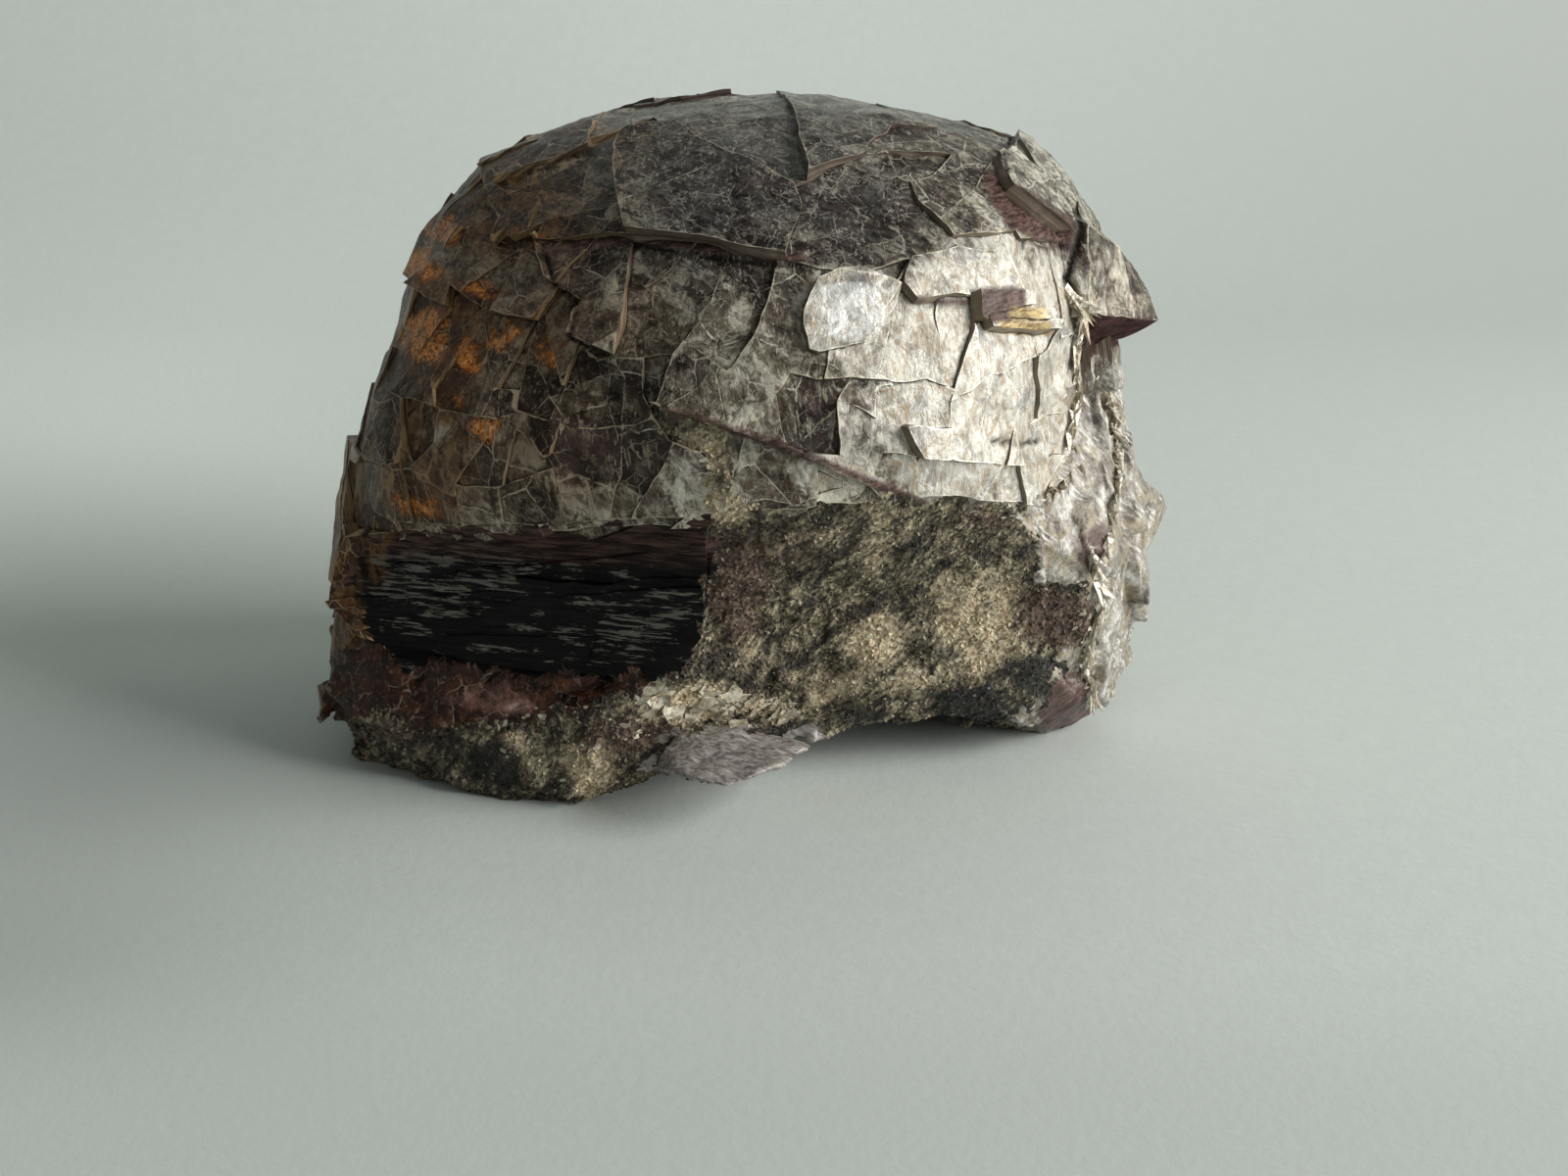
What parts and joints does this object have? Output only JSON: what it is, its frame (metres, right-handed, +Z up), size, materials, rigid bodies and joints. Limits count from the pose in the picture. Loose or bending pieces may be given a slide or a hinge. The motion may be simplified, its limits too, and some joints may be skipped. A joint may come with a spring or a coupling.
{
  "type": "raw lepidolite specimen",
  "caption": "Raw mica hand specimen: a domed, cracked cleavage front over a dark striated undercut face, granular crust and a ragged pillar, standing on its broken base.",
  "frame": {"origin": "centre of the bounding box on the plane that the specimen stands on", "axes": "+X to the right along the width of the domed front, +Y from the domed front to the back, +Z up from the standing plane"},
  "size_m": [0.098, 0.0684, 0.0715],
  "materials": {
    "lepidolite": "cleaved mica, slate grey to brown with a pearly gloss on the sheets and a dull granular crust"
  },
  "bodies": {
    "root": {"lepidolite": "lepidolite"}
  },
  "joints": []
}
